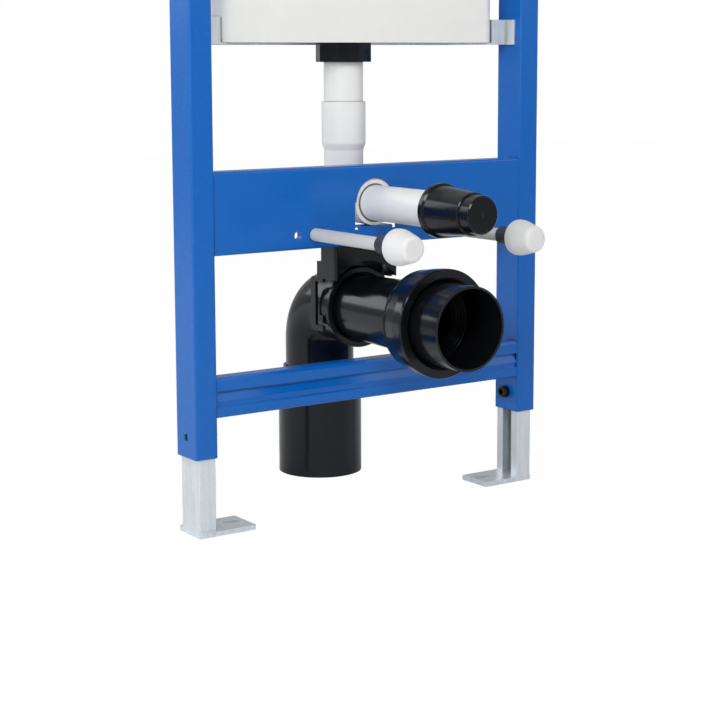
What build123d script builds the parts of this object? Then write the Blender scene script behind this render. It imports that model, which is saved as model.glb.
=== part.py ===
from build123d import *
import os

os.makedirs("parts", exist_ok=True)

# All sizes are in millimetres. Heights count from the floor, depths from the front of the uprights to the wall.
overall_width = 525.0
overall_height = 1150.0
wall_depth = 195.0
flush_height = 391.5

# Gaps between pieces
plug_gap = 0.2
slide_gap = 0.3

# Uprights: box section
tube_width = 30.0
tube_depth = 48.0
tube_wall = 2.0
tube_round = 2.5
tube_inner_round = 0.6
inner_x = overall_width / 2 - tube_width
tube_x = overall_width / 2 - tube_width / 2

# Rods for the pan, below the flush pipe
rod_drop = 34.5
rod_across = 90.0
spare_across = 115.0
rod_height = flush_height - rod_drop
rod_radius = 5.0
rod_hole = 5.5
rod_bore = 5.1
rod_tail = 30.0
rod_nut_half = 9.5
rod_nut_thick = 10.0
weld_nut_thick = 9.0
sleeve_radius = 8.0
sleeve_reach = 138.0
collar_radius = 11.0
collar_length = 27.5
cap_radius = 21.5
cap_length = 36.5
cap_front_radius = 14.8
cap_belly = 11.0
cap_back_round = 4.5
cap_belly_round = 30.0
cap_front_round = 5.5
cap_cover = 5.0

# Waste pipe, below the flush pipe
waste_drop = 135.5
waste_height = flush_height - waste_drop
waste_leg = 131.0
waste_radius = 45.0
waste_wall = 3.0
waste_bend_radius = 52.0
waste_leg_drop = 106.0
waste_start = 57.0
bend_socket_front = 33.0
bend_socket_wall = 4.5
bend_ring_extra = 2.4
bend_ring_length = 6.0
lug_size = 8.0
lug_reach = 53.0
lug_depth = 47.0
lug_rise = 16.0

# Outlet taper to the drain pipe
outlet_radius = 55.0
outlet_end = 26.0
outlet_top_drop = 88.0
outlet_neck_drop = 91.0
outlet_wide_drop = 125.0
outlet_neck_wall = 3.5

# Mouth for the pan connector
socket_radius = 44.6
socket_start_radius = 41.6
socket_wall = 3.0
mouth_back = 98.0
mouth_front = 142.0
mouth_radius = 66.3
mouth_back_radius = 60.0
mouth_bore = 55.8
mouth_ridge = 1.2
mouth_ridge_step = 8.5
mouth_flare = 8.0
seal_back = 128.0
connector_radius = 51.0
connector_wall = 3.0
connector_end = 190.5
connector_rib = 1.0
connector_rib_step = 6.0

# Cross plate: folded sheet around the flush pipe
sheet = 2.0
fold_round = 3.0
plate_face = 1.5
plate_below_flush = 51.9
plate_above_flush = 47.5
plate_low = flush_height - plate_below_flush
plate_high = flush_height + plate_above_flush
flange_depth = 24.0
notch_offset = 2.2
notch_centre = flush_height + notch_offset
notch_radius = 28.8
notch_half = 31.0
shelf_drop = 30.5
shelf_depth = 20.0
relief_width = 5.0
relief_depth = 4.0
shelf_high = notch_centre - shelf_drop

# Lower rail, below the waste pipe
rail_below_waste = 62.5
rail_tall = 48.7
rail_depth = 19.5
rail_wall = 1.5
rail_edge = 4.0
rail_groove_top = 17.0
rail_groove_deep = 4.0
rail_ridge = 28.5
rail_second_low = 36.5
rail_second_deep = 1.6
rail_high = waste_height - rail_below_waste
rail_low = rail_high - rail_tall

# Top rail
top_rail_tall = 45.0

# Clamp screws at the foot of the uprights
clamp_below_rail = 23.5
clamp_height = rail_low - clamp_below_rail
clamp_radius = 5.0
clamp_hole = 5.3
clamp_bore = 5.1
clamp_head_radius = 7.6
clamp_head_length = 9.0
clamp_head_edge = 0.8
clamp_key_half = 4.0
clamp_key_depth = 6.0
clamp_shank = 14.0
clamp_nut_length = 28.0
clamp_nut_tall = 20.0
clamp_nut_thick = 7.0
access_hole = 4.75
tube_below_clamp = 24.7
tube_bottom = clamp_height - tube_below_clamp

# Feet
plate_thick = 6.0
foot_length = 78.0
foot_width = 52.0
foot_front = 1.0
foot_round = 1.5
slot_inset = 64.8
slot_across = overall_width / 2 - slot_inset
slot_depth = 30.6
slot_length = 22.0
slot_width = 11.0
channel_depth = tube_depth - 2 * tube_wall - 2 * slide_gap
channel_width = 23.2
channel_wall = 2.0
channel_round = 1.5
channel_slot = 18.0
channel_length = 290.0
channel_inner = inner_x + tube_wall + slide_gap
channel_outer = channel_inner + channel_width

# Saddle and clip over the waste bend
saddle_left = 55.0
saddle_right = 40.0
saddle_across = (saddle_right - saddle_left) / 2
saddle_front = 10.0
saddle_depth = 31.0
saddle_back = saddle_front + saddle_depth
saddle_above_waste = 40.0
saddle_low = waste_height + saddle_above_waste
saddle_arch = 58.0
saddle_arch_rise = 4.0
saddle_round = 3.5
seat_half = 49.7
seat_depth = 10.0
seat_tall = 21.0
clip_inner = 50.0
clip_thick = 4.0
clip_front = 41.0
clip_neck = 13.0
clip_back = 68.6
clip_bar = 10.6
clip_foot = 7.0
clip_drop = 28.0
clip_low = waste_height - clip_drop
clip_shoulder = 41.0
clip_round = 6.0
clip_slot_tall = 56.0
clip_bridge = 3.0

# Flush pipe, bend, bush and plug
flush_leg = 72.0
flush_radius = 22.25
flush_wall = 2.0
flush_bend_radius = 34.0
leg_radius = 25.0
leg_wall = 2.55
bell_radius = 28.0
bell_above_flush = 67.5
bell_length = 57.0
bell_floor = 3.0
bell_taper = 8.5
bend_collar_radius = 28.0
bend_collar_taper = 4.0
bell_low = flush_height + bell_above_flush
bush_disc = 30.3
bush_disc_thick = 4.0
bush_mouth = 24.2
bush_mouth_deep = 1.5
bush_back = plate_face + sheet + bush_disc_thick
plug_back = 129.0
plug_front = 213.0
plug_flange_radius = 32.5
plug_flange_length = 9.0
plug_body_radius = 30.0
plug_body_end_radius = 25.4
plug_step = 196.0
plug_tip_radius = 22.6
plug_edge = 1.5
plug_floor = 20.0

# Cistern and what is on it
tank_above_flush = 198.5
tank_below_top = 140.0
tank_low = flush_height + tank_above_flush
tank_high = overall_height - tank_below_top
tank_side_room = 27.5
tank_half = inner_x - tank_side_room
tank_front = 22.0
tank_depth = 100.0
tank_wall = 3.0
tank_round = 14.0
window_wide = 190.0
window_tall = 120.0
window_below_tank = 100.0
window_height = tank_high - window_below_tank
box_edge = 15.0
box_wall = 4.0
box_reach = 28.0
cover_edge = 4.0
cover_thick = 3.0
cradle_sheet = 2.5
cradle_tall = 30.0
cradle_ledge = 12.0
cradle_ear = 18.0
cradle_start = 27.0
outlet_nut_half = 33.0
outlet_nut_tall = 24.0
inlet_inset = 55.0
inlet_half = 15.0
inlet_tall = 12.0
inlet_radius = 10.4
inlet_length = 20.0
inlet_bore = 7.0

# Wall brackets
bracket_below_top = 70.0
bracket_height = overall_height - bracket_below_top
bracket_wide = 50.0
bracket_tall = 90.0
bracket_thick = 4.0
bracket_round = 6.0
bracket_hole = 5.5
bracket_hole_rise = 30.0
bracket_rod_in = 20.0
wall_nut_half = 8.5
wall_nut_thick = 8.0

# The origin lies on the wall, at the centre of the left bracket's back face.
mid_x = tube_x
front_y = -wall_depth
floor_z = -bracket_height


def level(height):
    """Level plane at a height above the floor: sketch x runs right and sketch y runs to the wall."""
    return Plane(origin=(mid_x, front_y, floor_z + height), x_dir=(1, 0, 0), z_dir=(0, 0, 1))


def face(depth):
    """Upright plane at a depth behind the front, facing the room: sketch x runs right and sketch y runs up."""
    return Plane(origin=(mid_x, front_y + depth, floor_z), x_dir=(1, 0, 0), z_dir=(0, -1, 0))


def side(across):
    """Upright plane square to the frame's width: sketch x runs to the wall and sketch y runs up."""
    return Plane(origin=(mid_x + across, front_y, floor_z), x_dir=(0, 1, 0), z_dir=(1, 0, 0))


def run_axis(across, height):
    """Level axis from the room to the wall, for pieces turned about a rod or a pipe."""
    return Axis((mid_x + across, front_y, floor_z + height), (0, 1, 0))


for way, word in ((-1, "left"), (1, "right")):
    # Upright: box tube, closed at the top, with holes for the clamp screw and the wall bracket's rod
    with BuildPart() as upright:
        with BuildSketch(level(tube_bottom)):
            with Locations((way * tube_x, tube_depth / 2)):
                RectangleRounded(tube_width, tube_depth, tube_round)
        extrude(amount=overall_height - tube_bottom)
        with BuildSketch(level(tube_bottom)):
            with Locations((way * tube_x, tube_depth / 2)):
                RectangleRounded(tube_width - 2 * tube_wall, tube_depth - 2 * tube_wall, tube_inner_round)
        extrude(amount=overall_height - tube_bottom - tube_wall, mode=Mode.SUBTRACT)
        with BuildSketch(side(way * (inner_x + tube_wall / 2))):
            with Locations((tube_depth / 2, clamp_height)):
                Circle(clamp_hole)
        extrude(amount=tube_wall, both=True, mode=Mode.SUBTRACT)
        with BuildSketch(side(way * (overall_width / 2 - tube_wall / 2))):
            with Locations((tube_depth / 2, clamp_height)):
                Circle(access_hole)
        extrude(amount=tube_wall, both=True, mode=Mode.SUBTRACT)
        with BuildSketch(face(tube_depth - tube_wall / 2)):
            with Locations((way * tube_x, bracket_height)):
                Circle(clamp_hole)
        extrude(amount=tube_wall, both=True, mode=Mode.SUBTRACT)
    upright.part.label = "upright_" + word
    export_step(upright.part, "parts/upright_" + word + ".step")

    # Foot plate with an oblong hole for the floor anchor
    with BuildPart() as foot_plate:
        with BuildSketch(level(0)):
            with Locations((way * (channel_outer - foot_length / 2), foot_front + foot_width / 2)):
                RectangleRounded(foot_length, foot_width, foot_round)
            with Locations((way * slot_across, slot_depth)):
                SlotOverall(slot_length, slot_width, mode=Mode.SUBTRACT)
        extrude(amount=plate_thick)
    foot_plate.part.label = "foot_plate_" + word
    export_step(foot_plate.part, "parts/foot_plate_" + word + ".step")

    # Foot channel: lipped section, open to the middle of the frame, that slides in the upright
    with BuildPart() as foot_channel:
        with BuildSketch(level(plate_thick)):
            with Locations((way * (channel_inner + channel_width / 2), tube_depth / 2)):
                RectangleRounded(channel_width, channel_depth, channel_round)
                Rectangle(channel_width - 2 * channel_wall, channel_depth - 2 * channel_wall, mode=Mode.SUBTRACT)
            with Locations((way * (channel_inner + channel_wall / 2), tube_depth / 2)):
                Rectangle(2 * channel_wall, channel_slot, mode=Mode.SUBTRACT)
        extrude(amount=channel_length)
    foot_channel.part.label = "foot_channel_" + word
    export_step(foot_channel.part, "parts/foot_channel_" + word + ".step")

    # Clamp nut behind the channel's lips
    with BuildPart() as clamp_nut:
        with BuildSketch(side(way * (channel_inner + channel_wall + slide_gap))):
            with Locations((tube_depth / 2, clamp_height)):
                Rectangle(clamp_nut_length, clamp_nut_tall)
                Circle(clamp_bore, mode=Mode.SUBTRACT)
        extrude(amount=way * clamp_nut_thick)
    clamp_nut.part.label = "clamp_nut_" + word
    export_step(clamp_nut.part, "parts/clamp_nut_" + word + ".step")

    # Clamp screw: round head with a hexagon socket, on the upright's inner face
    with BuildPart() as clamp_screw:
        with BuildSketch(side(way * inner_x)):
            with Locations((tube_depth / 2, clamp_height)):
                Circle(clamp_head_radius)
        extrude(amount=-way * clamp_head_length)
        head_end = clamp_screw.faces().sort_by(Axis.X)[0 if way > 0 else -1]
        chamfer(head_end.edges(), clamp_head_edge)
        with BuildSketch(side(way * inner_x)):
            with Locations((tube_depth / 2, clamp_height)):
                Circle(clamp_radius)
        extrude(amount=way * clamp_shank)
        with BuildSketch(side(way * (inner_x - clamp_head_length))):
            with Locations((tube_depth / 2, clamp_height)):
                RegularPolygon(clamp_key_half, 6, major_radius=False)
        extrude(amount=way * clamp_key_depth, mode=Mode.SUBTRACT)
    clamp_screw.part.label = "clamp_screw_" + word
    export_step(clamp_screw.part, "parts/clamp_screw_" + word + ".step")

    # Rod for the pan, from behind the cross plate into the cap
    with BuildPart() as stud:
        with BuildSketch(face(rod_tail)):
            with Locations((way * rod_across, rod_height)):
                Circle(rod_radius)
        extrude(amount=rod_tail + sleeve_reach + collar_length + cap_length - 2 * cap_cover)
    stud.part.label = "stud_" + word
    export_step(stud.part, "parts/stud_" + word + ".step")

    # Nut behind the cross plate
    with BuildPart() as stud_nut:
        with BuildSketch(face(plate_face + sheet + rod_nut_thick)):
            with Locations((way * rod_across, rod_height)):
                RegularPolygon(rod_nut_half, 6, major_radius=False)
                Circle(rod_bore, mode=Mode.SUBTRACT)
        extrude(amount=rod_nut_thick)
    stud_nut.part.label = "stud_nut_" + word
    export_step(stud_nut.part, "parts/stud_nut_" + word + ".step")

    # Sleeve over the rod, from the cross plate to the collar
    with BuildPart() as stud_sleeve:
        with BuildSketch(face(plate_face)):
            with Locations((way * rod_across, rod_height)):
                Circle(sleeve_radius)
                Circle(rod_bore, mode=Mode.SUBTRACT)
        extrude(amount=plate_face + sleeve_reach)
    stud_sleeve.part.label = "stud_sleeve_" + word
    export_step(stud_sleeve.part, "parts/stud_sleeve_" + word + ".step")

    # Collar between the sleeve and the cap
    with BuildPart() as stud_collar:
        with BuildSketch(face(-sleeve_reach)):
            with Locations((way * rod_across, rod_height)):
                Circle(collar_radius)
                Circle(rod_bore, mode=Mode.SUBTRACT)
        extrude(amount=collar_length)
    stud_collar.part.label = "stud_collar_" + word
    export_step(stud_collar.part, "parts/stud_collar_" + word + ".step")

    # Cap: round behind, tapering to a small flat in front, with a blind bore for the rod
    with BuildPart() as stud_cap:
        cap_back = -sleeve_reach - collar_length
        cap_front = cap_back - cap_length
        with BuildSketch(side(way * rod_across)) as cap_section:
            with BuildLine():
                Polyline(
                    (cap_back, rod_height + rod_bore),
                    (cap_back, rod_height + cap_radius),
                    (cap_back - cap_belly, rod_height + cap_radius),
                    (cap_front, rod_height + cap_front_radius),
                    (cap_front, rod_height),
                    (cap_front + cap_cover, rod_height),
                    (cap_front + cap_cover, rod_height + rod_bore),
                    close=True,
                )
            make_face()
            fillet(cap_section.vertices().group_by(Axis.Y)[-1].sort_by(Axis.X)[-1], cap_back_round)
            fillet(cap_section.vertices().group_by(Axis.Y)[-1].sort_by(Axis.X)[0], cap_belly_round)
            fillet(cap_section.vertices().group_by(Axis.X)[0].sort_by(Axis.Y)[-1], cap_front_round)
        revolve(axis=run_axis(way * rod_across, rod_height))
    stud_cap.part.label = "stud_cap_" + word
    export_step(stud_cap.part, "parts/stud_cap_" + word + ".step")

    # Wall bracket: plate on the wall with a rod welded to it that enters the upright
    with BuildPart() as wall_bracket:
        with BuildSketch(face(wall_depth)):
            with Locations((way * tube_x, bracket_height)):
                RectangleRounded(bracket_wide, bracket_tall, bracket_round)
            with Locations(
                (way * tube_x, bracket_height - bracket_hole_rise),
                (way * tube_x, bracket_height + bracket_hole_rise),
            ):
                Circle(bracket_hole, mode=Mode.SUBTRACT)
        extrude(amount=bracket_thick)
        with BuildSketch(face(wall_depth - bracket_thick)):
            with Locations((way * tube_x, bracket_height)):
                Circle(clamp_radius)
        extrude(amount=wall_depth - bracket_thick - tube_depth + bracket_rod_in)
    wall_bracket.part.label = "wall_bracket_" + word
    export_step(wall_bracket.part, "parts/wall_bracket_" + word + ".step")

    # Nut on the bracket's rod, against the upright
    with BuildPart() as wall_nut:
        with BuildSketch(face(tube_depth + wall_nut_thick)):
            with Locations((way * tube_x, bracket_height)):
                RegularPolygon(wall_nut_half, 6, major_radius=False)
                Circle(clamp_bore, mode=Mode.SUBTRACT)
        extrude(amount=wall_nut_thick)
    wall_nut.part.label = "wall_nut_" + word
    export_step(wall_nut.part, "parts/wall_nut_" + word + ".step")

# Top rail: box section between the uprights
with BuildPart() as top_rail:
    with BuildSketch(side(-inner_x)):
        with Locations((tube_depth / 2, overall_height - top_rail_tall / 2)):
            Rectangle(tube_depth, top_rail_tall)
            Rectangle(tube_depth - 2 * tube_wall, top_rail_tall - 2 * tube_wall, mode=Mode.SUBTRACT)
    extrude(amount=2 * inner_x)
top_rail.part.label = "top_rail"
export_step(top_rail.part, "parts/top_rail.step")

# Lower rail: closed section with a bevelled top edge, a deep groove and a shallow one along its front
with BuildPart() as lower_rail:
    with BuildSketch(side(-inner_x)):
        for inset in (0, rail_wall):
            with BuildLine():
                Polyline(
                    (plate_face + 1.5 + inset, rail_low + inset),
                    (plate_face + inset, rail_low + 1.5 + inset),
                    (plate_face + inset, rail_high - rail_second_low - inset),
                    (plate_face + rail_second_deep + inset, rail_high - rail_second_low + 2 - inset),
                    (plate_face + rail_second_deep + inset, rail_high - rail_ridge - 3),
                    (plate_face + inset, rail_high - rail_ridge),
                    (plate_face + rail_groove_deep + inset, rail_high - rail_groove_top - 2),
                    (plate_face + rail_groove_deep + inset, rail_high - rail_groove_top),
                    (plate_face + inset, rail_high - rail_groove_top + 0.5),
                    (plate_face + inset, rail_high - rail_edge - inset),
                    (plate_face + 1.5 + inset, rail_high - inset),
                    (plate_face + rail_depth - inset, rail_high - inset),
                    (plate_face + rail_depth - inset, rail_low + inset),
                    close=True,
                )
            make_face(mode=Mode.ADD if inset == 0 else Mode.SUBTRACT)
    extrude(amount=2 * inner_x)
lower_rail.part.label = "lower_rail"
export_step(lower_rail.part, "parts/lower_rail.step")

# Cross plate: folded sheet with a notch and a bent shelf for the flush pipe, rod holes, and nuts behind the outer holes
with BuildPart() as cross_plate:
    with BuildSketch(side(-inner_x)) as plate_section:
        with Locations((plate_face + flange_depth / 2, (plate_low + plate_high) / 2)):
            Rectangle(flange_depth, plate_high - plate_low)
        fillet(plate_section.vertices().group_by(Axis.X)[0], fold_round)
        with Locations((plate_face + sheet + flange_depth / 2, (plate_low + plate_high) / 2)):
            Rectangle(flange_depth, plate_high - plate_low - 2 * sheet, mode=Mode.SUBTRACT)
    extrude(amount=2 * inner_x)
    with BuildSketch(face(plate_face + 2 * sheet)):
        with Locations((0, notch_centre)):
            Circle(notch_radius)
        with Locations((0, notch_centre - shelf_drop / 2)):
            Rectangle(2 * notch_half, shelf_drop)
        with Locations(
            (relief_width / 2 - notch_half, shelf_high - relief_depth / 2),
            (notch_half - relief_width / 2, shelf_high - relief_depth / 2),
        ):
            Rectangle(relief_width, relief_depth)
        with Locations((-rod_across, rod_height), (rod_across, rod_height)):
            Circle(rod_hole)
        with Locations((-spare_across, rod_height), (spare_across, rod_height)):
            Circle(rod_hole)
    extrude(amount=3 * sheet, mode=Mode.SUBTRACT)
    with BuildSketch(side(relief_width - notch_half)) as shelf_section:
        with Locations((plate_face + sheet + shelf_depth / 2, shelf_high - sheet / 2)):
            Rectangle(shelf_depth, sheet)
    extrude(amount=2 * (notch_half - relief_width))
    shelf_edge = cross_plate.edges().filter_by(Axis.X).sort_by_distance(
        (mid_x, front_y + plate_face, floor_z + shelf_high)
    )[0]
    fillet(shelf_edge, 0.9 * sheet)
    with BuildSketch(face(plate_face + sheet + weld_nut_thick)):
        with Locations((-spare_across, rod_height), (spare_across, rod_height)):
            RegularPolygon(rod_nut_half, 6, major_radius=False)
            Circle(rod_hole, mode=Mode.SUBTRACT)
    extrude(amount=weld_nut_thick)
cross_plate.part.label = "cross_plate"
export_step(cross_plate.part, "parts/cross_plate.step")

# Saddle: block under the cross plate with an arch through it and a seat on the waste bend behind
with BuildPart() as waste_bracket:
    with BuildSketch(face(saddle_back)):
        with Locations((saddle_across, (saddle_low + plate_low) / 2)):
            Rectangle(saddle_left + saddle_right, plate_low - saddle_low)
        with Locations((saddle_across, waste_height + saddle_arch_rise)):
            Circle(saddle_arch, mode=Mode.SUBTRACT)
    extrude(amount=saddle_depth)
    fillet(waste_bracket.edges().filter_by(Axis.Z).group_by(Axis.Y)[0], saddle_round)
    with BuildSketch(face(saddle_back + seat_depth)):
        with Locations((0, (saddle_low + plate_low) / 2)):
            Rectangle(2 * seat_half, plate_low - saddle_low)
        with Locations((0, waste_height)):
            Circle(waste_radius + bend_socket_wall + slide_gap, mode=Mode.SUBTRACT)
    extrude(amount=seat_depth)
waste_bracket.part.label = "waste_bracket"
export_step(waste_bracket.part, "parts/waste_bracket.step")

# Clip: bridge behind the saddle with a hook down each side of the bend, open towards the room
with BuildPart() as waste_clip:
    clip_seat = saddle_back + seat_depth
    clip_top = saddle_low + seat_tall
    clip_corner = waste_height + clip_shoulder
    with BuildSketch(face(clip_seat + clip_bridge)):
        with Locations((0, saddle_low + seat_tall / 2)):
            Rectangle(2 * (clip_inner + clip_thick), seat_tall)
        with Locations((0, waste_height)):
            Circle(waste_radius + bend_socket_wall + slide_gap, mode=Mode.SUBTRACT)
    extrude(amount=clip_bridge)
    for way in (-1, 1):
        with BuildSketch(side(way * clip_inner)) as hook_section:
            with BuildLine():
                Polyline(
                    (clip_front, clip_top),
                    (clip_front, clip_low + clip_foot + clip_slot_tall),
                    (clip_back - clip_bar, clip_low + clip_foot + clip_slot_tall),
                    (clip_back - clip_bar, clip_low + clip_foot),
                    (clip_front, clip_low + clip_foot),
                    (clip_front, clip_low),
                    (clip_back, clip_low),
                    (clip_back, clip_corner),
                    (clip_front + clip_neck, clip_corner),
                    (clip_front + clip_neck, clip_top),
                    close=True,
                )
            make_face()
            back_corners = hook_section.vertices().group_by(Axis.X)[-1]
            fillet(back_corners, clip_round)
        extrude(amount=way * clip_thick)
waste_clip.part.label = "waste_clip"
export_step(waste_clip.part, "parts/waste_clip.step")

# Waste bend: quarter bend with a ringed socket in front, a lug each side and a plain leg down
with BuildPart() as waste_bend:
    with BuildLine(side(0)) as waste_path:
        Line((waste_start, waste_height), (waste_leg - waste_bend_radius, waste_height))
        RadiusArc(
            (waste_leg - waste_bend_radius, waste_height),
            (waste_leg, waste_height - waste_bend_radius),
            waste_bend_radius,
        )
        Line((waste_leg, waste_height - waste_bend_radius), (waste_leg, waste_height - waste_leg_drop))
    with BuildSketch(face(waste_start)):
        with Locations((0, waste_height)):
            Circle(waste_radius)
            Circle(waste_radius - waste_wall, mode=Mode.SUBTRACT)
    sweep()
    with BuildSketch(side(0)):
        with BuildLine():
            Polyline(
                (waste_start, waste_height + waste_radius - waste_wall),
                (waste_start + 2.5, waste_height + waste_radius - waste_wall),
                (waste_start + 2.5, waste_height + waste_radius),
                (waste_start - 1, waste_height + waste_radius + bend_socket_wall),
                (bend_socket_front + bend_ring_length, waste_height + waste_radius + bend_socket_wall),
                (bend_socket_front + bend_ring_length - 1, waste_height + waste_radius + bend_socket_wall + bend_ring_extra),
                (bend_socket_front + 1, waste_height + waste_radius + bend_socket_wall + bend_ring_extra),
                (bend_socket_front, waste_height + waste_radius + bend_socket_wall + bend_ring_extra - 1),
                (bend_socket_front, waste_height + waste_radius + plug_gap),
                (waste_start, waste_height + waste_radius + plug_gap),
                close=True,
            )
        make_face()
    revolve(axis=run_axis(0, waste_height))
    for way in (-1, 1):
        with BuildSketch(side(way * lug_reach)):
            with Locations((lug_depth, clip_low + lug_rise)):
                Rectangle(lug_size, lug_size)
        extrude(amount=-way * (lug_reach - waste_radius + waste_wall))
waste_bend.part.label = "waste_bend"
export_step(waste_bend.part, "parts/waste_bend.step")

# Outlet: taper from the bend's leg to the larger drain pipe
with BuildPart() as waste_outlet:
    with BuildSketch(side(0)):
        with BuildLine():
            Polyline(
                (waste_leg + waste_radius + plug_gap, waste_height - outlet_top_drop),
                (waste_leg + waste_radius + outlet_neck_wall, waste_height - outlet_top_drop),
                (waste_leg + waste_radius + outlet_neck_wall, waste_height - outlet_neck_drop),
                (waste_leg + outlet_radius, waste_height - outlet_wide_drop),
                (waste_leg + outlet_radius, outlet_end),
                (waste_leg + outlet_radius - waste_wall, outlet_end),
                (waste_leg + outlet_radius - waste_wall, waste_height - outlet_wide_drop),
                (waste_leg + waste_radius - waste_wall, waste_height - waste_leg_drop - 1),
                (waste_leg + waste_radius + plug_gap, waste_height - waste_leg_drop - 1),
                close=True,
            )
        make_face()
    revolve(axis=Axis((mid_x, front_y + waste_leg, floor_z), (0, 0, 1)))
waste_outlet.part.label = "waste_outlet"
export_step(waste_outlet.part, "parts/waste_outlet.step")

# Waste socket: pipe from the bend to the wide ridged mouth that takes the pan connector
with BuildPart() as waste_socket:
    with BuildSketch(side(0)):
        ridge_two = mouth_back + mouth_ridge_step
        with BuildLine():
            Polyline(
                (waste_start - 2, waste_height + socket_start_radius - socket_wall),
                (waste_start - 2, waste_height + socket_start_radius),
                (bend_socket_front - 1, waste_height + socket_start_radius),
                (-mouth_back + mouth_flare, waste_height + socket_radius),
                (-mouth_back + 1, waste_height + mouth_back_radius - 1),
                (-mouth_back, waste_height + mouth_back_radius + mouth_ridge),
                (-mouth_back - 2, waste_height + mouth_back_radius + mouth_ridge),
                (-mouth_back - 3, waste_height + mouth_back_radius),
                (-ridge_two + 1, waste_height + mouth_back_radius),
                (-ridge_two, waste_height + mouth_back_radius + 2 * mouth_ridge),
                (-(ridge_two + mouth_front) / 2, waste_height + mouth_radius - mouth_ridge),
                (-mouth_front + 4, waste_height + mouth_radius),
                (-mouth_front + 1, waste_height + mouth_radius),
                (-mouth_front, waste_height + mouth_radius - 1),
                (-mouth_front, waste_height + mouth_bore),
                (-mouth_back - 4, waste_height + mouth_bore),
                (-mouth_back - 4, waste_height + socket_radius - socket_wall),
                (-mouth_back + mouth_flare, waste_height + socket_radius - socket_wall),
                (bend_socket_front - 1, waste_height + socket_start_radius - socket_wall),
                close=True,
            )
        make_face()
    revolve(axis=run_axis(0, waste_height))
waste_socket.part.label = "waste_socket"
export_step(waste_socket.part, "parts/waste_socket.step")

# Lip seal in the socket's mouth
with BuildPart() as socket_seal:
    with BuildSketch(side(0)):
        with BuildLine():
            Polyline(
                (-seal_back, waste_height + mouth_bore - plug_gap),
                (-mouth_front + 1, waste_height + mouth_bore - plug_gap),
                (-mouth_front + 3, waste_height + mouth_bore - 2),
                (-seal_back - 3, waste_height + connector_radius + plug_gap),
                (-seal_back, waste_height + connector_radius + plug_gap),
                close=True,
            )
        make_face()
    revolve(axis=run_axis(0, waste_height))
socket_seal.part.label = "socket_seal"
export_step(socket_seal.part, "parts/socket_seal.step")

# Pan connector: open pipe that stands out of the socket, ribbed inside at its far end
with BuildPart() as pan_connector:
    with BuildSketch(face(-mouth_back - 4 - plug_gap)):
        with Locations((0, waste_height)):
            Circle(connector_radius)
            Circle(connector_radius - connector_wall, mode=Mode.SUBTRACT)
    extrude(amount=connector_end - mouth_back - 4 - plug_gap)
    for step in range(4):
        with BuildSketch(face(-mouth_back - 4 - plug_gap - step * connector_rib_step)):
            with Locations((0, waste_height)):
                Circle(connector_radius - connector_wall / 2)
                Circle(connector_radius - connector_wall - connector_rib, mode=Mode.SUBTRACT)
        extrude(amount=connector_rib)
pan_connector.part.label = "pan_connector"
export_step(pan_connector.part, "parts/pan_connector.step")

# Flush bend: from the cistern's down pipe to the front, with a wider socket on top and a collar in front
with BuildPart() as flush_bend:
    with BuildLine(side(0)) as flush_path:
        Line((flush_leg, bell_low + bell_floor), (flush_leg, flush_height + flush_bend_radius))
        RadiusArc(
            (flush_leg, flush_height + flush_bend_radius),
            (flush_leg - flush_bend_radius, flush_height),
            flush_bend_radius,
        )
        Line((flush_leg - flush_bend_radius, flush_height), (bush_back + plug_gap, flush_height))
    with BuildSketch(level(bell_low + bell_floor)):
        with Locations((0, flush_leg)):
            Circle(leg_radius)
            Circle(leg_radius - leg_wall, mode=Mode.SUBTRACT)
    sweep()
    with BuildSketch(side(0)):
        with BuildLine():
            Polyline(
                (flush_leg + leg_radius - leg_wall, bell_low),
                (flush_leg + leg_radius - leg_wall, bell_low - bell_taper / 2),
                (flush_leg + leg_radius, bell_low - bell_taper / 2),
                (flush_leg + bell_radius, bell_low + bell_taper / 2),
                (flush_leg + bell_radius, bell_low + bell_length),
                (flush_leg + leg_radius + plug_gap, bell_low + bell_length),
                (flush_leg + leg_radius + plug_gap, bell_low + bell_floor),
                (flush_leg + leg_radius - leg_wall, bell_low + bell_floor),
                close=True,
            )
        make_face()
    revolve(axis=Axis((mid_x, front_y + flush_leg, floor_z), (0, 0, 1)))
    with BuildSketch(side(0)):
        with BuildLine():
            Polyline(
                (bush_back + plug_gap, flush_height + leg_radius - leg_wall),
                (bush_back + plug_gap, flush_height + bend_collar_radius),
                (flush_leg - flush_bend_radius - bend_collar_taper, flush_height + bend_collar_radius),
                (flush_leg - flush_bend_radius, flush_height + leg_radius),
                (flush_leg - flush_bend_radius, flush_height + leg_radius - leg_wall),
                close=True,
            )
        make_face()
    revolve(axis=run_axis(0, flush_height))
flush_bend.part.label = "flush_bend"
export_step(flush_bend.part, "parts/flush_bend.step")

# Down pipe from the cistern into the bend's socket
with BuildPart() as flush_downpipe:
    with BuildSketch(level(bell_low + bell_floor + plug_gap)):
        with Locations((0, flush_leg)):
            Circle(leg_radius)
            Circle(leg_radius - leg_wall, mode=Mode.SUBTRACT)
    extrude(amount=tank_low - bell_low - bell_floor - plug_gap)
flush_downpipe.part.label = "flush_downpipe"
export_step(flush_downpipe.part, "parts/flush_downpipe.step")

# Flush pipe: level end, from the bend into the plug
with BuildPart() as flush_pipe:
    with BuildSketch(face(flush_leg - flush_bend_radius - 1)):
        with Locations((0, flush_height)):
            Circle(flush_radius)
            Circle(flush_radius - flush_wall, mode=Mode.SUBTRACT)
    extrude(amount=flush_leg - flush_bend_radius - 1 + plug_front - plug_floor - 1)
flush_pipe.part.label = "flush_pipe"
export_step(flush_pipe.part, "parts/flush_pipe.step")

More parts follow.
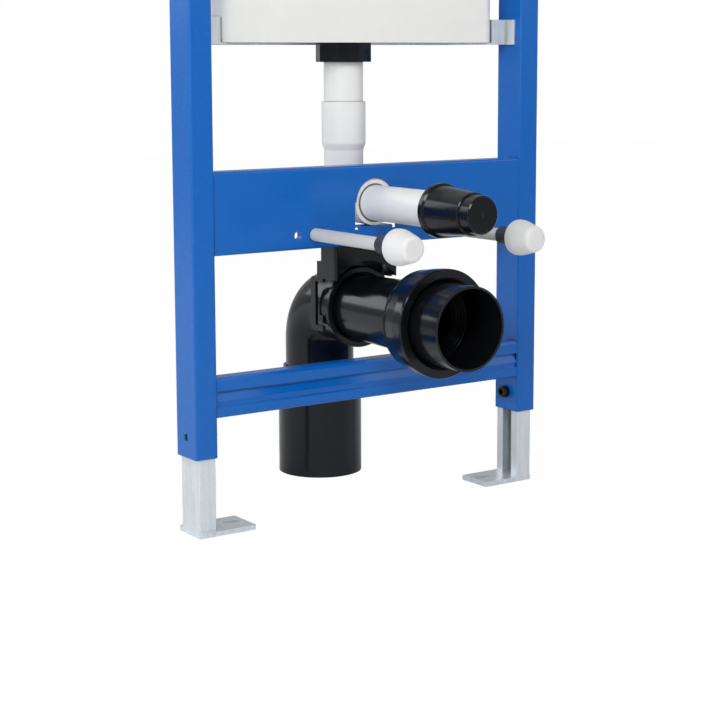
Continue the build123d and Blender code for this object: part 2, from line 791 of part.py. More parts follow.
# Bush: disc behind the plate's notch, on the shelf, with a wider mouth around the pipe
with BuildPart() as flush_bush:
    with BuildSketch(face(bush_back)):
        with Locations((0, notch_centre)):
            Circle(bush_disc)
        with Locations((0, flush_height)):
            Circle(flush_radius + plug_gap, mode=Mode.SUBTRACT)
    extrude(amount=bush_disc_thick)
    with BuildSketch(face(plate_face + sheet + bush_mouth_deep)):
        with Locations((0, flush_height)):
            Circle(bush_mouth)
    extrude(amount=2 * bush_mouth_deep, mode=Mode.SUBTRACT)
flush_bush.part.label = "flush_bush"
export_step(flush_bush.part, "parts/flush_bush.step")

# Plug: tapered, with a flange behind, a step and a closed tip with a dimple
with BuildPart() as flush_plug:
    with BuildSketch(side(0)):
        with BuildLine():
            Polyline(
                (-plug_back, flush_height + flush_radius + plug_gap),
                (-plug_back, flush_height + plug_flange_radius - 1),
                (-plug_back - 1, flush_height + plug_flange_radius),
                (-plug_back - plug_flange_length + 2, flush_height + plug_flange_radius),
                (-plug_back - plug_flange_length, flush_height + plug_body_radius),
                (-plug_step + 1, flush_height + plug_body_end_radius),
                (-plug_step, flush_height + plug_body_end_radius - 1),
                (-plug_step, flush_height + plug_tip_radius + 0.6),
                (-plug_front + plug_edge, flush_height + plug_tip_radius),
                (-plug_front, flush_height + plug_tip_radius - plug_edge),
                (-plug_front, flush_height + 2),
                (-plug_front + 1, flush_height),
                (-plug_front + plug_floor, flush_height),
                (-plug_front + plug_floor, flush_height + flush_radius + plug_gap),
                close=True,
            )
        make_face()
    revolve(axis=run_axis(0, flush_height))
flush_plug.part.label = "flush_plug"
export_step(flush_plug.part, "parts/flush_plug.step")

# Cistern: hollow tank with a window in front and the outlet in its floor
with BuildPart() as cistern_tank:
    with BuildSketch(level(tank_low)):
        with Locations((0, tank_front + tank_depth / 2)):
            RectangleRounded(2 * tank_half, tank_depth, tank_round)
    extrude(amount=tank_high - tank_low)
    with BuildSketch(level(tank_low + tank_wall)):
        with Locations((0, tank_front + tank_depth / 2)):
            RectangleRounded(2 * (tank_half - tank_wall), tank_depth - 2 * tank_wall, tank_round - tank_wall)
    extrude(amount=tank_high - tank_low - 2 * tank_wall, mode=Mode.SUBTRACT)
    with BuildSketch(level(tank_low)):
        with Locations((0, flush_leg)):
            Circle(leg_radius - leg_wall)
    extrude(amount=tank_wall, mode=Mode.SUBTRACT)
    with BuildSketch(face(tank_front + tank_wall)):
        with Locations((0, window_height)):
            Rectangle(window_wide, window_tall)
    extrude(amount=tank_wall, mode=Mode.SUBTRACT)
cistern_tank.part.label = "cistern_tank"
export_step(cistern_tank.part, "parts/cistern_tank.step")

# Cradle: strap around the tank's back with a ledge under it, and ears on the uprights
with BuildPart() as cistern_cradle:
    cradle_half = tank_half + slide_gap + cradle_sheet
    cradle_back = tank_front + tank_depth + slide_gap + cradle_sheet
    with BuildSketch(level(tank_low - cradle_sheet)):
        with Locations((0, (cradle_start + cradle_back) / 2)):
            Rectangle(2 * cradle_half, cradle_back - cradle_start)
            with Locations((0, -cradle_ledge / 2)):
                Rectangle(
                    2 * (cradle_half - cradle_ledge), cradle_back - cradle_start - cradle_ledge, mode=Mode.SUBTRACT
                )
    extrude(amount=cradle_sheet)
    with BuildSketch(level(tank_low)):
        with Locations((0, (cradle_start + cradle_back) / 2)):
            Rectangle(2 * cradle_half, cradle_back - cradle_start)
            with Locations((0, -cradle_sheet / 2)):
                Rectangle(
                    2 * (cradle_half - cradle_sheet), cradle_back - cradle_start - cradle_sheet, mode=Mode.SUBTRACT
                )
    extrude(amount=cradle_tall)
    for way in (-1, 1):
        with BuildSketch(level(tank_low - cradle_sheet)):
            with Locations((way * (cradle_half + inner_x) / 2, cradle_start + cradle_sheet / 2)):
                Rectangle(inner_x - cradle_half, cradle_sheet)
            with Locations((way * (inner_x - cradle_sheet / 2), cradle_start + cradle_sheet - cradle_ear / 2)):
                Rectangle(cradle_sheet, cradle_ear)
        extrude(amount=cradle_tall + cradle_sheet)
cistern_cradle.part.label = "cistern_cradle"
export_step(cistern_cradle.part, "parts/cistern_cradle.step")

# Access box: sleeve in front of the tank's window
with BuildPart() as access_box:
    with BuildSketch(face(tank_front)):
        with Locations((0, window_height)):
            Rectangle(window_wide + 2 * box_edge, window_tall + 2 * box_edge)
            Rectangle(
                window_wide + 2 * box_edge - 2 * box_wall, window_tall + 2 * box_edge - 2 * box_wall, mode=Mode.SUBTRACT
            )
    extrude(amount=tank_front + box_reach)
access_box.part.label = "access_box"
export_step(access_box.part, "parts/access_box.step")

# Cover on the access box
with BuildPart() as access_cover:
    with BuildSketch(face(-box_reach)):
        with Locations((0, window_height)):
            RectangleRounded(
                window_wide + 2 * (box_edge + cover_edge), window_tall + 2 * (box_edge + cover_edge), 2 * cover_edge
            )
    extrude(amount=cover_thick)
access_cover.part.label = "access_cover"
export_step(access_cover.part, "parts/access_cover.step")

# Outlet nut under the tank, around the down pipe
with BuildPart() as outlet_nut:
    with BuildSketch(level(tank_low - outlet_nut_tall)):
        with Locations((0, flush_leg)):
            RegularPolygon(outlet_nut_half, 8, major_radius=False)
            Circle(leg_radius + plug_gap, mode=Mode.SUBTRACT)
    extrude(amount=outlet_nut_tall)
outlet_nut.part.label = "outlet_nut"
export_step(outlet_nut.part, "parts/outlet_nut.step")

# Water inlet on top of the tank
with BuildPart() as inlet_connector:
    with BuildSketch(level(tank_high)):
        with Locations((inlet_inset - tank_half, tank_front + tank_depth / 2)):
            RegularPolygon(inlet_half, 6, major_radius=False)
    extrude(amount=inlet_tall)
    with BuildSketch(level(tank_high + inlet_tall)):
        with Locations((inlet_inset - tank_half, tank_front + tank_depth / 2)):
            Circle(inlet_radius)
    extrude(amount=inlet_length)
    with BuildSketch(level(tank_high)):
        with Locations((inlet_inset - tank_half, tank_front + tank_depth / 2)):
            Circle(inlet_bore)
    extrude(amount=inlet_tall + inlet_length, mode=Mode.SUBTRACT)
inlet_connector.part.label = "inlet_connector"
export_step(inlet_connector.part, "parts/inlet_connector.step")
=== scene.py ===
import math

import bmesh
import bpy
import numpy as np
from mathutils import Matrix, Vector


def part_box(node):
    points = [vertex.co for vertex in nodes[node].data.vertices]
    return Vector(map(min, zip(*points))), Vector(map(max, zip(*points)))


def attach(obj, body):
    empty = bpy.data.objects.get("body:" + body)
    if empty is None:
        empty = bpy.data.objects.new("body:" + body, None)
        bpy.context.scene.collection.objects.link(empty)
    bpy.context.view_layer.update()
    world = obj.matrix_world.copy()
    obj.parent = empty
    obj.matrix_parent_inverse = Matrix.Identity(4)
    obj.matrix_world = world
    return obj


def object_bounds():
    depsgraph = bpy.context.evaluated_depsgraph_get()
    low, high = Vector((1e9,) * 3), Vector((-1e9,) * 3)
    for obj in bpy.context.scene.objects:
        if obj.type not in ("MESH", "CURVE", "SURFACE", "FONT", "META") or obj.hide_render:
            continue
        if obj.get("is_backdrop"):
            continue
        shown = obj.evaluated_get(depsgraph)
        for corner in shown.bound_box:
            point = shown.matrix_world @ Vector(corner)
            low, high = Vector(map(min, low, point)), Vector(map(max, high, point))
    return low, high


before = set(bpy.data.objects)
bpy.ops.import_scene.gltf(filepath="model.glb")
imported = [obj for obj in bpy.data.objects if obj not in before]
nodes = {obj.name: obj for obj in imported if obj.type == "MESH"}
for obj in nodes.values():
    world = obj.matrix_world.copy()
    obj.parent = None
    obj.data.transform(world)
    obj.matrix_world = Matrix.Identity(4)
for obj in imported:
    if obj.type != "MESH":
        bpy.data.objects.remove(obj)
cad_low, cad_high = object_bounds()

# Steel frame: two box uprights and three cross members of bent sheet, welded and powder coated in blue.
# The coat is a semi-gloss polyester with broad soft highlights over a faint orange peel, and its edges
# catch a narrow light. Its specks are drawn at 1.2 mm, coarser than the real ones, so that they show.
COAT_SPECK = 0.0012
COAT_PEEL = 0.0018
PEEL_DEEP = 0.000025
SHEET_WAVE = 0.07
WAVE_DEEP = 0.0003
EDGE_ROUND = 0.0009
COAT_SHADE_REACH = 0.004


def linear(hex_colour):
    """sRGB hex to linear RGBA: a channel is over 12.92 near black, and follows the 2.4 power above it."""
    srgb = np.array([int(hex_colour[i:i + 2], 16) for i in (1, 3, 5)]) / 255
    low = srgb / 12.92
    high = ((srgb + 0.055) / 1.055) ** 2.4
    return (*np.where(srgb <= 0.04045, low, high).tolist(), 1.0)


def add(tree, kind, settings=(), links=()):
    """Adds one node to a material's tree, sets its values and sockets, and links its inputs."""
    node = tree.nodes.new(kind)
    for key, value in dict(settings).items():
        if isinstance(key, str) and hasattr(node, key):
            setattr(node, key, value)
        else:
            node.inputs[key].default_value = value
    for socket, source in dict(links).items():
        tree.links.new(source, node.inputs[socket])
    return node


def finish_of(name, colour, rough, metallic=0.0, specular=0.5):
    """A new material with its Principled shader set, and its tree for what is added to it."""
    material = bpy.data.materials.new(name)
    material.use_nodes = True
    tree = material.node_tree
    shader = tree.nodes["Principled BSDF"]
    shader.inputs["Base Color"].default_value = linear(colour)
    shader.inputs["Roughness"].default_value = rough
    shader.inputs["Metallic"].default_value = metallic
    shader.inputs["Specular IOR Level"].default_value = specular
    return material, tree, shader


def grain(tree, size, low=0.0, high=1.0, detail=2.0, stretch=(1, 1, 1)):
    """Blotches of about size metres, from low to high, longer on an axis whose stretch is below one."""
    place = add(tree, "ShaderNodeTexCoord").outputs["Object"]
    drawn = add(tree, "ShaderNodeMapping", {"Scale": stretch}, {"Vector": place}).outputs["Vector"]
    noise = {"Scale": 1 / size, "Detail": detail}
    blotch = add(tree, "ShaderNodeTexNoise", noise, {"Vector": drawn}).outputs["Fac"]
    spread = {
        "interpolation_type": "SMOOTHSTEP",
        "From Min": 0.25,
        "From Max": 0.75,
        "To Min": low,
        "To Max": high,
    }
    return add(tree, "ShaderNodeMapRange", spread, {"Value": blotch}).outputs["Result"]


def relief(tree, shader, edge, *layers):
    """Rounds edges by edge metres to the eye, and lays patterns over them, each a height and a depth."""
    normal = add(tree, "ShaderNodeBevel", {"samples": 8, "Radius": edge}).outputs["Normal"]
    for height, depth in layers:
        links = {"Height": height, "Normal": normal}
        normal = add(tree, "ShaderNodeBump", {"Strength": 1.0, "Distance": depth}, links).outputs["Normal"]
    tree.links.new(normal, shader.inputs["Normal"])


def tone_and_painted_shade(tree, shader, pattern, first, second, dark, reach, own=False):
    """Blends two colours by a pattern, and paints shade on them: it darkens them towards the dark colour in
    gaps narrower than reach metres, where shade falls. With own set, only the piece's own walls make such a
    gap."""
    colours = {"data_type": "RGBA", 6: linear(first), 7: linear(second)}
    colour = add(tree, "ShaderNodeMix", colours, {0: pattern}).outputs[2]
    reached = {"samples": 6, "only_local": own, "Distance": reach}
    gap = add(tree, "ShaderNodeAmbientOcclusion", reached).outputs["AO"]
    spread = {"interpolation_type": "SMOOTHSTEP", "From Min": 0.25, "From Max": 0.85}
    clear = add(tree, "ShaderNodeMapRange", spread, {"Value": gap}).outputs["Result"]
    mix = add(tree, "ShaderNodeMix", {"data_type": "RGBA", 6: linear(dark)}, {0: clear, 7: colour})
    tree.links.new(mix.outputs[2], shader.inputs["Base Color"])


def dress(material, *names):
    """Gives CAD nodes one material in place of their own."""
    for name in names:
        for slot in nodes[name].material_slots:
            slot.material = material


def both(name):
    """The left and right node of a pair."""
    return name + "_left", name + "_right"


powder_coat, tree, shader = finish_of("blue_powder_coat", "#0752A2", 0.24, specular=0.34)
wave = grain(tree, SHEET_WAVE, detail=1)
relief(tree, shader, EDGE_ROUND, (wave, WAVE_DEEP), (grain(tree, COAT_PEEL), PEEL_DEEP))
tree.links.new(grain(tree, COAT_SPECK, 0.20, 0.28), shader.inputs["Roughness"])
# Painted shade: the blue darkens to navy in corners and gaps less than 4 mm across.
tone_and_painted_shade(tree, shader, grain(tree, COAT_SPECK), "#045BAD", "#055EB3", "#0A1C48", COAT_SHADE_REACH)
dress(powder_coat, *both("upright"), "top_rail", "cross_plate", "lower_rail")

# Weld beads where the cross members meet the uprights, laid by torch from top to bottom before the coat.
# Each bead is a tube whose thickness swells at every ripple, half sunk in the corner that it fills, and
# the beads in front are thinner than those behind.
BEAD_RADIUS = 0.0011
FRONT_BEAD_RADIUS = 0.0007
BEAD_STEP = 0.0031
BEAD_SIDES = 12
RIPPLE_RINGS = 6
DRIFT_KNOTS = 24
TIP_RADIUS = 0.00005
BEAD_END = 0.003
BEAD_SUNK = 0.0003
BACK_INSET = 0.0006
FRONT_INSETS = {"cross_plate": 0.0002, "lower_rail": 0.0002, "top_rail": -0.0002}
left_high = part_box("upright_left")[1]
right_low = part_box("upright_right")[0]
MID = (left_high[0] + right_low[0]) / 2
INNER = (right_low[0] - left_high[0]) / 2


def ringed(name, points, material, body, hollow=False):
    """Joins rings of points, one row each, by four-sided faces between neighbours: a solid with flat ends,
    or a hollow ring whose last row meets its first."""
    rows, columns = points.shape[:2]
    r, c = np.meshgrid(np.arange(rows if hollow else rows - 1), np.arange(columns), indexing="ij")
    r2 = (r + 1) % rows
    c2 = (c + 1) % columns
    sides = np.stack([r * columns + c, r * columns + c2, r2 * columns + c2, r2 * columns + c], -1)
    sides = sides.reshape(-1, 4).tolist()
    ends = [] if hollow else [list(range(columns)), list(range((rows - 1) * columns, rows * columns))]
    mesh = bpy.data.meshes.new(name)
    mesh.from_pydata(points.reshape(-1, 3).tolist(), [], sides + ends)
    outward = bmesh.new()
    outward.from_mesh(mesh)
    bmesh.ops.recalc_face_normals(outward, faces=outward.faces)
    outward.to_mesh(mesh)
    outward.free()
    mesh.polygons.foreach_set("use_smooth", np.arange(len(mesh.polygons)) < len(sides))
    mesh.materials.append(material)
    piece = bpy.data.objects.new(name, mesh)
    bpy.context.scene.collection.objects.link(piece)
    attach(piece, body)


def tube(path, across, up, radius):
    """Rings of points about a path: each is its point of the path, plus the radius times the cosine of the
    turn along across and times its sine along up."""
    turn = np.linspace(0, 2 * np.pi, BEAD_SIDES + 1)[:-1]
    radius = np.asarray(radius)[:, None, None]
    across, up = (np.broadcast_to(np.asarray(a, float), path.shape)[:, None, :] for a in (across, up))
    around = np.cos(turn)[None, :, None] * across + np.sin(turn)[None, :, None] * up
    return path[:, None, :] + radius * around


def bead(name, start, end, across, up, material, body, radius):
    """A weld bead from start to end: its radius is the given one times the sum of 0.86, of 0.28 times the
    0.7 power of a half sine over each ripple step, and of a slow random drift of up to 0.16."""
    start, end = np.array(start, float), np.array(end, float)
    length = np.linalg.norm(end - start)
    t = np.linspace(0, 1, RIPPLE_RINGS * (int(length / BEAD_STEP) + 1) + 1)
    ripple = (t * length / BEAD_STEP) % 1
    rng = np.random.default_rng(len(name) * 7 + int(length * 1e4))
    drift = np.interp(t, np.linspace(0, 1, DRIFT_KNOTS), rng.uniform(-0.16, 0.16, DRIFT_KNOTS))
    size = radius * (0.86 + 0.28 * np.sin(np.pi * ripple) ** 0.7 + drift)
    size[[0, -1]] = TIP_RADIUS
    path = start + t[:, None] * (end - start)
    ringed(name, tube(path, across, up, size), material, body)


for way, word in ((-1, "left"), (1, "right")):
    x = MID + way * (INNER - BEAD_SUNK)
    for rail, front_inset in FRONT_INSETS.items():
        low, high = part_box(rail)
        runs = {
            "front": (low[1] + front_inset, FRONT_BEAD_RADIUS),
            "back": (high[1] - BACK_INSET, BEAD_RADIUS),
        }
        for where, (y, radius) in runs.items():
            start = (x, y, low[2] + BEAD_END)
            end = (x, y, high[2] - BEAD_END)
            name = "weld_" + rail + "_" + where + "_" + word
            bead(name, start, end, (1, 0, 0), (0, 1, 0), powder_coat, "frame", radius)

# Feet and wall brackets: lipped channels and plates of steel sheet, welded and hot-dip galvanised. The
# zinc freezes in faint spangles with a cool grey sheen, and it is streaked where it ran off. The streaks
# are drawn 4 to 6 mm wide, coarser than the real ones, so that they show.
SPANGLE = 0.004
SPANGLE_SHARE = 0.3
DRAW_STREAK = 0.004
DRAW_DEEP = 0.000002
SHEEN_STREAK = 0.006
SHEET_DENT = 0.03
DENT_DEEP = 0.0002
ZINC_EDGE = 0.0008
CHANNEL_SHADE_REACH = 0.010
FOOT_BEAD_RADIUS = 0.0015
FOOT_BEAD_OUT = 0.0002
galvanised, tree, shader = finish_of("galvanised_steel", "#CDD4DA", 0.32, metallic=0.6)
place = add(tree, "ShaderNodeTexCoord").outputs["Object"]
cells = add(tree, "ShaderNodeTexVoronoi", {"Scale": 1 / SPANGLE, "Randomness": 1.0}, {"Vector": place})
grey = add(tree, "ShaderNodeSeparateColor", {}, {0: cells.outputs["Color"]}).outputs[0]
streak = grain(tree, DRAW_STREAK, high=1 - SPANGLE_SHARE, detail=1, stretch=(1, 1, 0.06))
blend = {"operation": "MULTIPLY_ADD", 1: SPANGLE_SHARE}
mottle = add(tree, "ShaderNodeMath", blend, {0: grey, 2: streak}).outputs[0]
# Painted shade: the zinc darkens to olive grey where the piece's own walls stand within 10 mm.
tone_and_painted_shade(tree, shader, mottle, "#CCD4DA", "#DDE3E8", "#85887E", CHANNEL_SHADE_REACH, own=True)
sheen = grain(tree, SHEEN_STREAK, 0.30, 0.35, detail=1, stretch=(1, 1, 0.12))
tree.links.new(sheen, shader.inputs["Roughness"])
dent = grain(tree, SHEET_DENT, detail=1)
drawn = grain(tree, DRAW_STREAK, detail=1, stretch=(1, 1, 0.1))
relief(tree, shader, ZINC_EDGE, (dent, DENT_DEEP), (drawn, DRAW_DEEP))
dress(galvanised, *both("foot_channel"), *both("foot_plate"), *both("wall_bracket"), "cistern_cradle")

for word in ("left", "right"):
    low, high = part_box("foot_channel_" + word)
    z = low[2] + FOOT_BEAD_OUT
    for where, y in (("front", low[1] - FOOT_BEAD_OUT), ("back", high[1] + FOOT_BEAD_OUT)):
        start = (low[0] + FOOT_BEAD_RADIUS, y, z)
        end = (high[0] - FOOT_BEAD_RADIUS, y, z)
        name = "foot_weld_" + where + "_" + word
        body = "foot_" + word
        bead(name, start, end, (0, 1, 0), (0, 0, 1), galvanised, body, FOOT_BEAD_RADIUS)

# Rods and nuts: rolled steel, zinc plated and bright, with patches where the plating is duller. A rolled
# thread shows on the rods behind the cross plate and beside the nuts of the wall brackets.
THREAD_PITCH = 0.0015
THREAD_DEEP = 0.00045
THREAD_LIFT = 0.00004
THREAD_RINGS = 8
THREAD_SIDES = 32
ROD_RADIUS = 0.005
ROD_END = 0.0006
NUT_CLEAR = 0.0002
WALL_ROD_SHOWN = 0.05
END_SUNK = 0.0002
SMALL_EDGE = 0.0005
ZINC_PATCH = 0.004
ZINC_GRAIN = 0.0006
ZINC_DEEP = 0.00001
zinc, tree, shader = finish_of("zinc_plated_steel", "#C6C8C9", 0.3, metallic=1.0)
tree.links.new(grain(tree, ZINC_PATCH, 0.22, 0.4, detail=3), shader.inputs["Roughness"])
relief(tree, shader, SMALL_EDGE, (grain(tree, ZINC_GRAIN), ZINC_DEEP))
dress(zinc, *both("stud"), *both("stud_nut"), *both("wall_nut"), *both("clamp_nut"))


def thread(name, x, z, y_start, y_end, material):
    """A rolled thread about a level rod: the radius is the rod's plus the depth times a triangle wave. The
    wave's phase is the length over the pitch plus the angle's share of a turn, so that it climbs."""
    rows = int(abs(y_end - y_start) / THREAD_PITCH * THREAD_RINGS)
    around = np.linspace(0, 2 * np.pi, THREAD_SIDES + 1)[:-1]
    y, turn = np.meshgrid(np.linspace(y_start, y_end, rows), around, indexing="ij")
    phase = (y / THREAD_PITCH + turn / (2 * np.pi)) % 1
    size = ROD_RADIUS + THREAD_LIFT + THREAD_DEEP * (1 - np.abs(2 * phase - 1))
    size[[0, -1]] = ROD_RADIUS - END_SUNK
    points = np.stack([x + size * np.cos(turn), y, z + size * np.sin(turn)], -1)
    ringed(name, points, material, "frame")


for word in ("left", "right"):
    low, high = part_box("stud_" + word)
    nut_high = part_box("stud_nut_" + word)[1]
    x = (low[0] + high[0]) / 2
    z = (low[2] + high[2]) / 2
    thread("rod_thread_" + word, x, z, high[1] - ROD_END, nut_high[1] + NUT_CLEAR, zinc)
    nut_low, nut_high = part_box("wall_nut_" + word)
    x = (nut_low[0] + nut_high[0]) / 2
    z = (nut_low[2] + nut_high[2]) / 2
    y = nut_high[1]
    thread("wall_rod_thread_" + word, x, z, y + WALL_ROD_SHOWN, y + NUT_CLEAR, galvanised)

# Clamp screws: turned heads with a knurled rim, black oxide on steel, dull and faintly grained.
# The rim is a hollow ring around the head, so the socket in its middle stays open.
KNURLS = 40
KNURL_DEEP = 0.00022
KNURL_LIFT = 0.00006
KNURL_BAND = (0.0010, 0.0014, 0.0068, 0.0072)
HEAD_LENGTH = 0.009
HEAD_RADIUS = 0.0076
OXIDE_PATCH = 0.003
OXIDE_GRAIN = 0.0007
OXIDE_DEEP = 0.00001
black_oxide, tree, shader = finish_of("black_oxide_steel", "#0B0B0D", 0.4, specular=0.35)
relief(tree, shader, SMALL_EDGE, (grain(tree, OXIDE_GRAIN), OXIDE_DEEP))
tree.links.new(grain(tree, OXIDE_PATCH, 0.32, 0.5, detail=3), shader.inputs["Roughness"])
dress(black_oxide, *both("clamp_screw"))

# The radius of the rim is the head's plus the depth times the cosine, without its sign, of the angle times
# half the number of knurls. The first and last ring are sunk in the head.
for way, word in ((-1, "left"), (1, "right")):
    low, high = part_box("clamp_screw_" + word)
    y, z = (low[1] + high[1]) / 2, (low[2] + high[2]) / 2
    head = MID + way * (INNER - HEAD_LENGTH)
    around = np.linspace(0, 2 * np.pi, 6 * KNURLS + 1)[:-1]
    a, t = np.meshgrid(np.array(KNURL_BAND), around, indexing="ij")
    ridge = KNURL_LIFT + KNURL_DEEP * np.abs(np.cos(KNURLS * t / 2))
    ridge[[0, -1]] = -END_SUNK
    size = HEAD_RADIUS + ridge
    points = np.stack([head + way * a, y + way * size * np.cos(t), z + size * np.sin(t)], -1)
    ringed("screw_knurl_" + word, points, black_oxide, "frame", hollow=True)

# Sleeves over the rods: extruded polyethylene tube in light grey, with faint draw marks along its length
# and slow patches of duller surface.
DRAW_MARK = 0.0008
DRAW_MARK_DEEP = 0.00002
DULL_PATCH = 0.01
sleeve_grey, tree, shader = finish_of("grey_polyethylene", "#C4C4C4", 0.42)
relief(tree, shader, EDGE_ROUND, (grain(tree, DRAW_MARK, stretch=(1, 0.02, 1)), DRAW_MARK_DEEP))
tree.links.new(grain(tree, DULL_PATCH, 0.36, 0.5, stretch=(1, 0.1, 1)), shader.inputs["Roughness"])
dress(sleeve_grey, *both("stud_sleeve"))

# Collars between sleeves and caps: dark grey moulded rubber, matt, with a fine grain from the mould that
# shows only from near.
COLLAR_EDGE = 0.0012
COLLAR_GRAIN = 0.0005
COLLAR_DEEP = 0.00002
collar_grey, tree, shader = finish_of("dark_grey_rubber", "#2B2C33", 0.5)
relief(tree, shader, COLLAR_EDGE, (grain(tree, COLLAR_GRAIN), COLLAR_DEEP))
dress(collar_grey, *both("stud_collar"))

# Caps: white polyethylene, soft and slightly waxy, with shallow sink marks from the mould.
# Light goes a few millimetres into it and comes out again, which softens its shading.
CAP_EDGE = 0.0015
SINK_MARK = 0.012
SINK_DEEP = 0.00006
cap_white, tree, shader = finish_of("white_cap_polyethylene", "#D8D8D8", 0.4, specular=0.35)
shader.inputs["Subsurface Weight"].default_value = 0.6
shader.inputs["Subsurface Radius"].default_value = (1.0, 1.0, 1.0)
shader.inputs["Subsurface Scale"].default_value = 0.006
relief(tree, shader, CAP_EDGE, (grain(tree, SINK_MARK), SINK_DEEP))
dress(cap_white, *both("stud_cap"))

# Waste pipes, saddle, clip, plug and outlet nut: black polyethylene, injection moulded, so glossy, with a
# slow waviness from shrinking and patches where the melt cooled a little duller.
FLOW_MARK = 0.012
FLOW_DEEP = 0.000035
COOL_PATCH = 0.006
MOULD_EDGE = 0.0006
black_plastic, tree, shader = finish_of("black_polyethylene", "#0D0E11", 0.14, specular=0.32)
shader.inputs["Specular Tint"].default_value = (0.84, 0.90, 1.0, 1.0)
relief(tree, shader, MOULD_EDGE, (grain(tree, FLOW_MARK), FLOW_DEEP))
cooled = grain(tree, COOL_PATCH, 0.14, 0.22, detail=3, stretch=(1, 0.5, 1))
tree.links.new(cooled, shader.inputs["Roughness"])
dress(black_plastic, "waste_bracket", "waste_clip", "waste_bend", "waste_outlet", "waste_socket")
dress(black_plastic, "pan_connector", "flush_plug", "outlet_nut")

# Lip seal in the socket: moulded rubber, matt and slightly dusty, with a fine grain that shows only from
# near.
SEAL_GRAIN = 0.0006
SEAL_DEEP = 0.000015
seal_black, tree, shader = finish_of("seal_rubber", "#151516", 0.62)
relief(tree, shader, EDGE_ROUND, (grain(tree, SEAL_GRAIN), SEAL_DEEP))
dress(seal_black, "socket_seal")

# Flush pipes, bush, cistern and access box: white polypropylene, satin, with a mould grain that is drawn at
# 1.2 mm, coarser than the real one, so that it shows, and a slow waviness that breaks up its highlights.
SHRINK_WAVE = 0.02
SHRINK_DEEP = 0.00006
MOULD_GRAIN = 0.0012
WHITE_EDGE = 0.0008
WHITE_SHADE_REACH = 0.004
white_plastic, tree, shader = finish_of("white_polypropylene", "#DEDEDC", 0.36, specular=0.4)
relief(tree, shader, WHITE_EDGE, (grain(tree, SHRINK_WAVE), SHRINK_DEEP))
# Painted shade: the white darkens to grey in gaps less than 4 mm across, such as around the pipe in the
# bush.
tone_and_painted_shade(tree, shader, grain(tree, SHRINK_WAVE), "#DDDDDB", "#DFDFDD", "#55565A", WHITE_SHADE_REACH)
tree.links.new(grain(tree, MOULD_GRAIN, 0.32, 0.42, detail=3), shader.inputs["Roughness"])
dress(white_plastic, "flush_bend", "flush_bush", "flush_downpipe", "flush_pipe")
dress(white_plastic, "cistern_tank", "access_box", "access_cover")

# Water inlet: brass turned on a lathe, with rings left by the tool. They are drawn 1.7 mm apart, coarser
# than the real ones, so that they show: a wave of scale one repeats every tenth of pi metres.
LATHE_RING = 0.0017453
RING_DEEP = 0.00003
brass, tree, shader = finish_of("turned_brass", "#C9A35B", 0.28, metallic=1.0)
place = add(tree, "ShaderNodeTexCoord").outputs["Object"]
bands = {"Scale": math.pi / 10 / LATHE_RING, "wave_type": "BANDS", "bands_direction": "Z"}
rings = add(tree, "ShaderNodeTexWave", bands, {"Vector": place}).outputs["Fac"]
relief(tree, shader, SMALL_EDGE, (rings, RING_DEEP))
dress(brass, "inlet_connector")

# Floor: plain and white, with only the object's soft shadow on it. To the camera it is almost all a white
# glow, as bright as the backdrop, and to all other light it is pale paint.
FLOOR_SIDE = 14
FLOOR_DROP = 0.0002
FLOOR_GLOW = 0.985
bpy.ops.mesh.primitive_plane_add(size=FLOOR_SIDE, location=(MID, 0, cad_low.z - FLOOR_DROP))
floor = bpy.context.object
floor.name = "floor"
floor_paint, tree, shader = finish_of("pale_floor", "#F0F0F0", 0.9, specular=0.0)
output = tree.nodes["Material Output"]
seen = add(tree, "ShaderNodeLightPath").outputs["Is Camera Ray"]
white = add(tree, "ShaderNodeEmission", {"Color": (1, 1, 1, 1), "Strength": 1.0})
mixed = add(tree, "ShaderNodeMixShader", {}, {1: shader.outputs["BSDF"], 2: white.outputs["Emission"]})
glow = add(tree, "ShaderNodeMath", {"operation": "MULTIPLY", 1: FLOOR_GLOW}, {0: seen})
tree.links.new(glow.outputs["Value"], mixed.inputs["Fac"])
tree.links.new(mixed.outputs["Shader"], output.inputs["Surface"])
floor.data.materials.append(floor_paint)
floor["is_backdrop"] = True

# Light: a white studio that lights the object less than it glows to the camera, and four soft boxes, of
# which the key hangs high in front, one stands at each side and one behind.
STUDIO_LEVEL = 0.43
world = bpy.data.worlds.new("studio")
bpy.context.scene.world = world
world.use_nodes = True
tree = world.node_tree
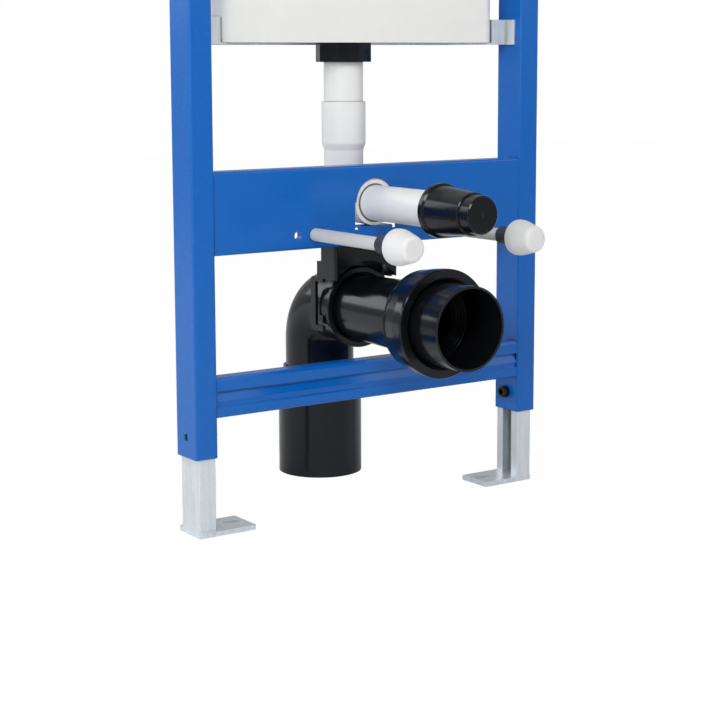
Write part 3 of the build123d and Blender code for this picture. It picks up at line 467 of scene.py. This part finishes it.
background = tree.nodes["Background"]
background.inputs["Color"].default_value = (1, 1, 1, 1)
seen = add(tree, "ShaderNodeLightPath").outputs["Is Camera Ray"]
level = add(tree, "ShaderNodeMapRange", {"To Min": STUDIO_LEVEL, "To Max": 1.0}, {"Value": seen})
tree.links.new(level.outputs["Result"], background.inputs["Strength"])


def lamp(name, size, power, place, aim):
    """A square soft box that shines from place towards aim."""
    light = bpy.data.lights.new(name, "AREA")
    light.shape = "SQUARE"
    light.size = size
    light.energy = power
    holder = bpy.data.objects.new(name, light)
    bpy.context.scene.collection.objects.link(holder)
    holder.location = place
    holder.rotation_euler = (Vector(aim) - Vector(place)).to_track_quat("-Z", "Y").to_euler()


middle = Vector((MID, -0.19, -0.8))
lamp("key", 0.9, 38, (-1.1, -2.1, 1.0), middle)
lamp("left", 1.2, 23, (-2.5, -1.2, 0.0), middle)
lamp("fill", 1.4, 9, (1.9, -2.0, 0.4), middle)
lamp("behind", 2.0, 34, (-1.5, 2.2, 0.7), middle)

# Camera: fitted to the straight edges of the frame in the photograph. It stands in front, to the left and a
# little above the pipes, and its lens is the fitted focal length in pixels of a picture 720 pixels wide.
SENSOR = 36
FOCAL_PIXELS = 1725
PICTURE_PIXELS = 720
YAW = math.radians(34.69)
PITCH = math.radians(-8.18)
ROLL = math.radians(-0.17)
camera_data = bpy.data.cameras.new("camera")
camera = bpy.data.objects.new("camera", camera_data)
bpy.context.scene.collection.objects.link(camera)
bpy.context.scene.camera = camera
camera_data.sensor_width = SENSOR
camera_data.lens = FOCAL_PIXELS * SENSOR / PICTURE_PIXELS
camera_data.shift_y = -0.08
camera_data.clip_end = 50
camera.location = (-0.9951, -1.9538, -0.5047)
swing = Matrix.Rotation(-YAW, 4, "Z")
tilt = Matrix.Rotation(math.radians(90) + PITCH, 4, "X")
camera.rotation_euler = (swing @ tilt @ Matrix.Rotation(ROLL, 4, "Z")).to_euler()

bpy.context.scene.view_settings.view_transform = "Standard"

low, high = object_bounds()
